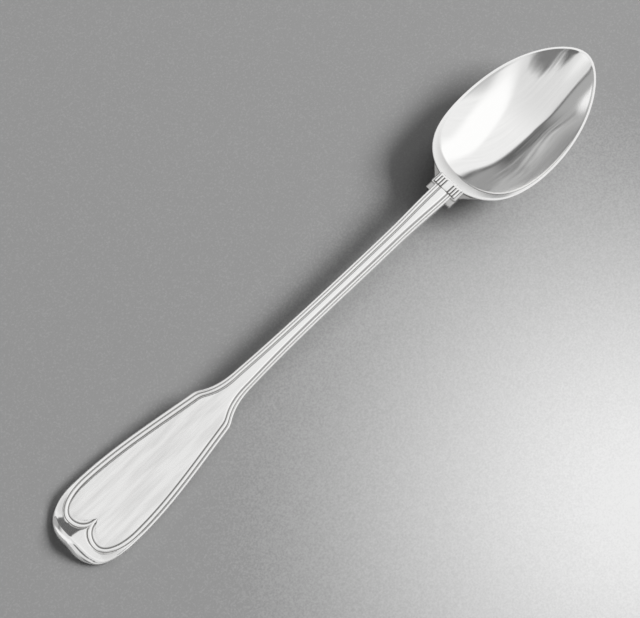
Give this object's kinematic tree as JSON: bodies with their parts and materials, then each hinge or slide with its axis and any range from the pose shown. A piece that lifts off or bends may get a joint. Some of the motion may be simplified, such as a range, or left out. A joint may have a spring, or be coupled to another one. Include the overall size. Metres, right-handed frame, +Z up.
{
  "type": "stew spoon",
  "caption": "Long one-piece silvered stew spoon with an egg-shaped bowl, a reeded collar and a fiddle handle edged with a double thread.",
  "frame": {"origin": "centre of the bounding box, on the table plane that the bowl and the handle end rest on", "axes": "+X runs along the spoon from the handle end to the bowl tip, +Z up out of the open bowl, +Y across it to the left of +X"},
  "size_m": [0.3, 0.0506, 0.0184],
  "materials": {
    "silver": "silvered metal, mirror-polished in the bowl and on the threads, with fine polishing scratches and tiny pits on the handle's panel"
  },
  "bodies": {
    "root": {"spoon": "silver"}
  },
  "joints": []
}
